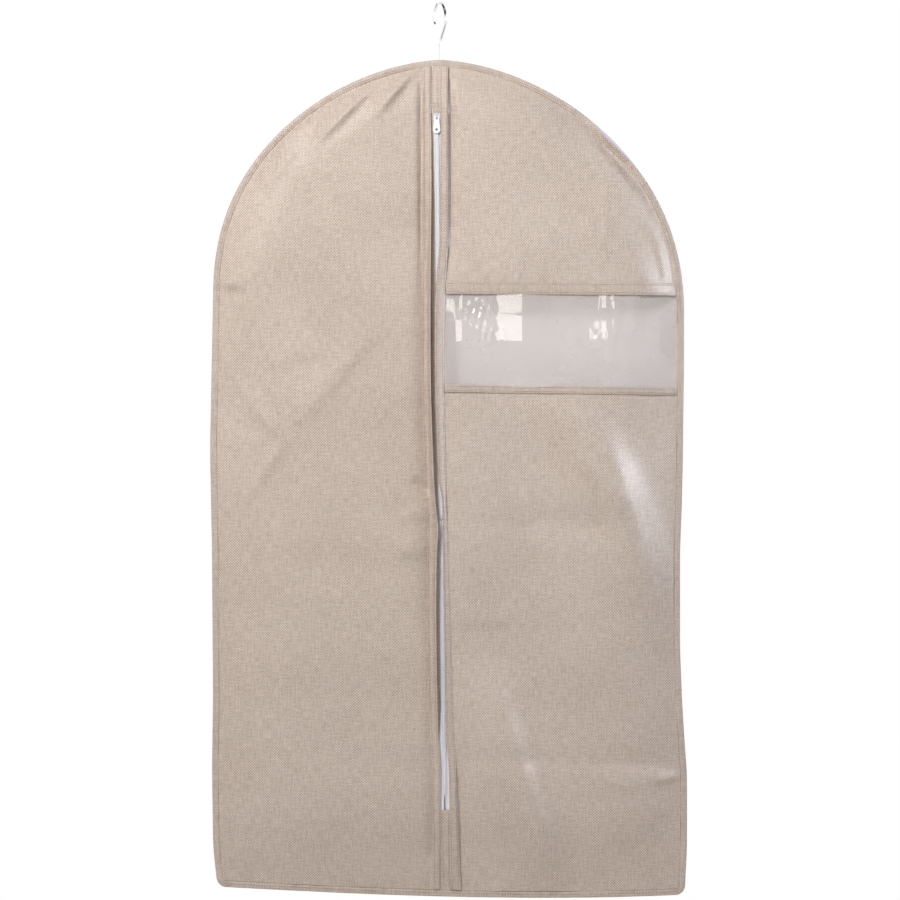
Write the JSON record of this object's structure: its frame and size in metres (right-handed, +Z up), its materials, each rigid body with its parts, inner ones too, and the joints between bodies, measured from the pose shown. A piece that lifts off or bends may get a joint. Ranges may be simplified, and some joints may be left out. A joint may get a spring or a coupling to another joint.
{
  "type": "garment bag",
  "caption": "Tall arched garment bag of linen-look cloth with a clear strip window, a centre zip with slider and pull, bound edges and a hanger inside on a swivel hook.",
  "frame": {"origin": "the seat inside the top of the hook, where a rail touches it, so the whole bag hangs below the origin", "axes": "+Z up along the hook's shank, +Y out of the back of the bag, +X to the right as seen from the front"},
  "size_m": [0.601, 0.0455, 1.1415],
  "materials": {
    "linen_cloth": "beige nonwoven with a printed linen weave, white inside",
    "linen_binding": "the same cloth folded double and topstitched",
    "clear_sheet": "clear flexible vinyl, creased",
    "zip_tape": "white woven tape",
    "zip_coil": "white nylon coil",
    "slider_paint": "white enamel",
    "hanger_plastic": "off-white moulded plastic",
    "hook_chrome": "bright chrome wire"
  },
  "bodies": {
    "bag": {"back_panel": "linen_cloth", "left_edge_binding": "linen_binding", "right_edge_binding": "linen_binding", "bottom_edge_binding": "linen_binding", "zip_top_tab": "linen_cloth", "zip_bottom_tab": "linen_cloth", "hook_slot_lip": "linen_cloth", "hanger_body": "hanger_plastic"},
    "left_flap": {"left_front_panel": "linen_cloth", "left_zip_facing": "linen_binding", "left_zip_tape": "zip_tape", "left_zip_coil": "zip_coil"},
    "right_flap": {"right_front_upper_panel": "linen_cloth", "window_top_binding": "linen_binding", "window_pane": "clear_sheet", "window_bottom_binding": "linen_binding", "right_front_lower_panel": "linen_cloth", "right_zip_facing": "linen_binding", "right_zip_tape": "zip_tape", "right_zip_coil": "zip_coil"},
    "slider": {"zip_slider": "slider_paint"},
    "pull": {"zip_pull": "slider_paint"},
    "hook": {"hook": "hook_chrome"}
  },
  "joints": [
    {"name": "zip_slide", "type": "slide", "parent": "bag", "child": "slider", "axis": [0.0119, 0, -0.9999], "range_m": [0, 0.872]},
    {"name": "left_flap_open", "type": "hinge", "parent": "bag", "child": "left_flap", "pos_m": [-0.2796, -0.0019, -0.605], "axis": [0, 0, -1], "range_deg": [0, 50]},
    {"name": "right_flap_open", "type": "hinge", "parent": "bag", "child": "right_flap", "pos_m": [0.3006, -0.0019, -0.605], "axis": [0, 0, 1], "range_deg": [0, 50]},
    {"name": "pull_flip", "type": "hinge", "parent": "slider", "child": "pull", "pos_m": [-0.0045, -0.0222, -0.1457], "axis": [-1, 0, 0], "range_deg": [0, 165]},
    {"name": "hook_swivel", "type": "hinge", "parent": "bag", "child": "hook", "pos_m": [0, 0, -0.1], "axis": [0, 0, 1], "continuous": true}
  ],
  "couplings": [
    {"joint": "left_flap_open", "follows": "zip_slide", "rad_per_m": 1},
    {"joint": "right_flap_open", "follows": "zip_slide", "rad_per_m": 1}
  ]
}
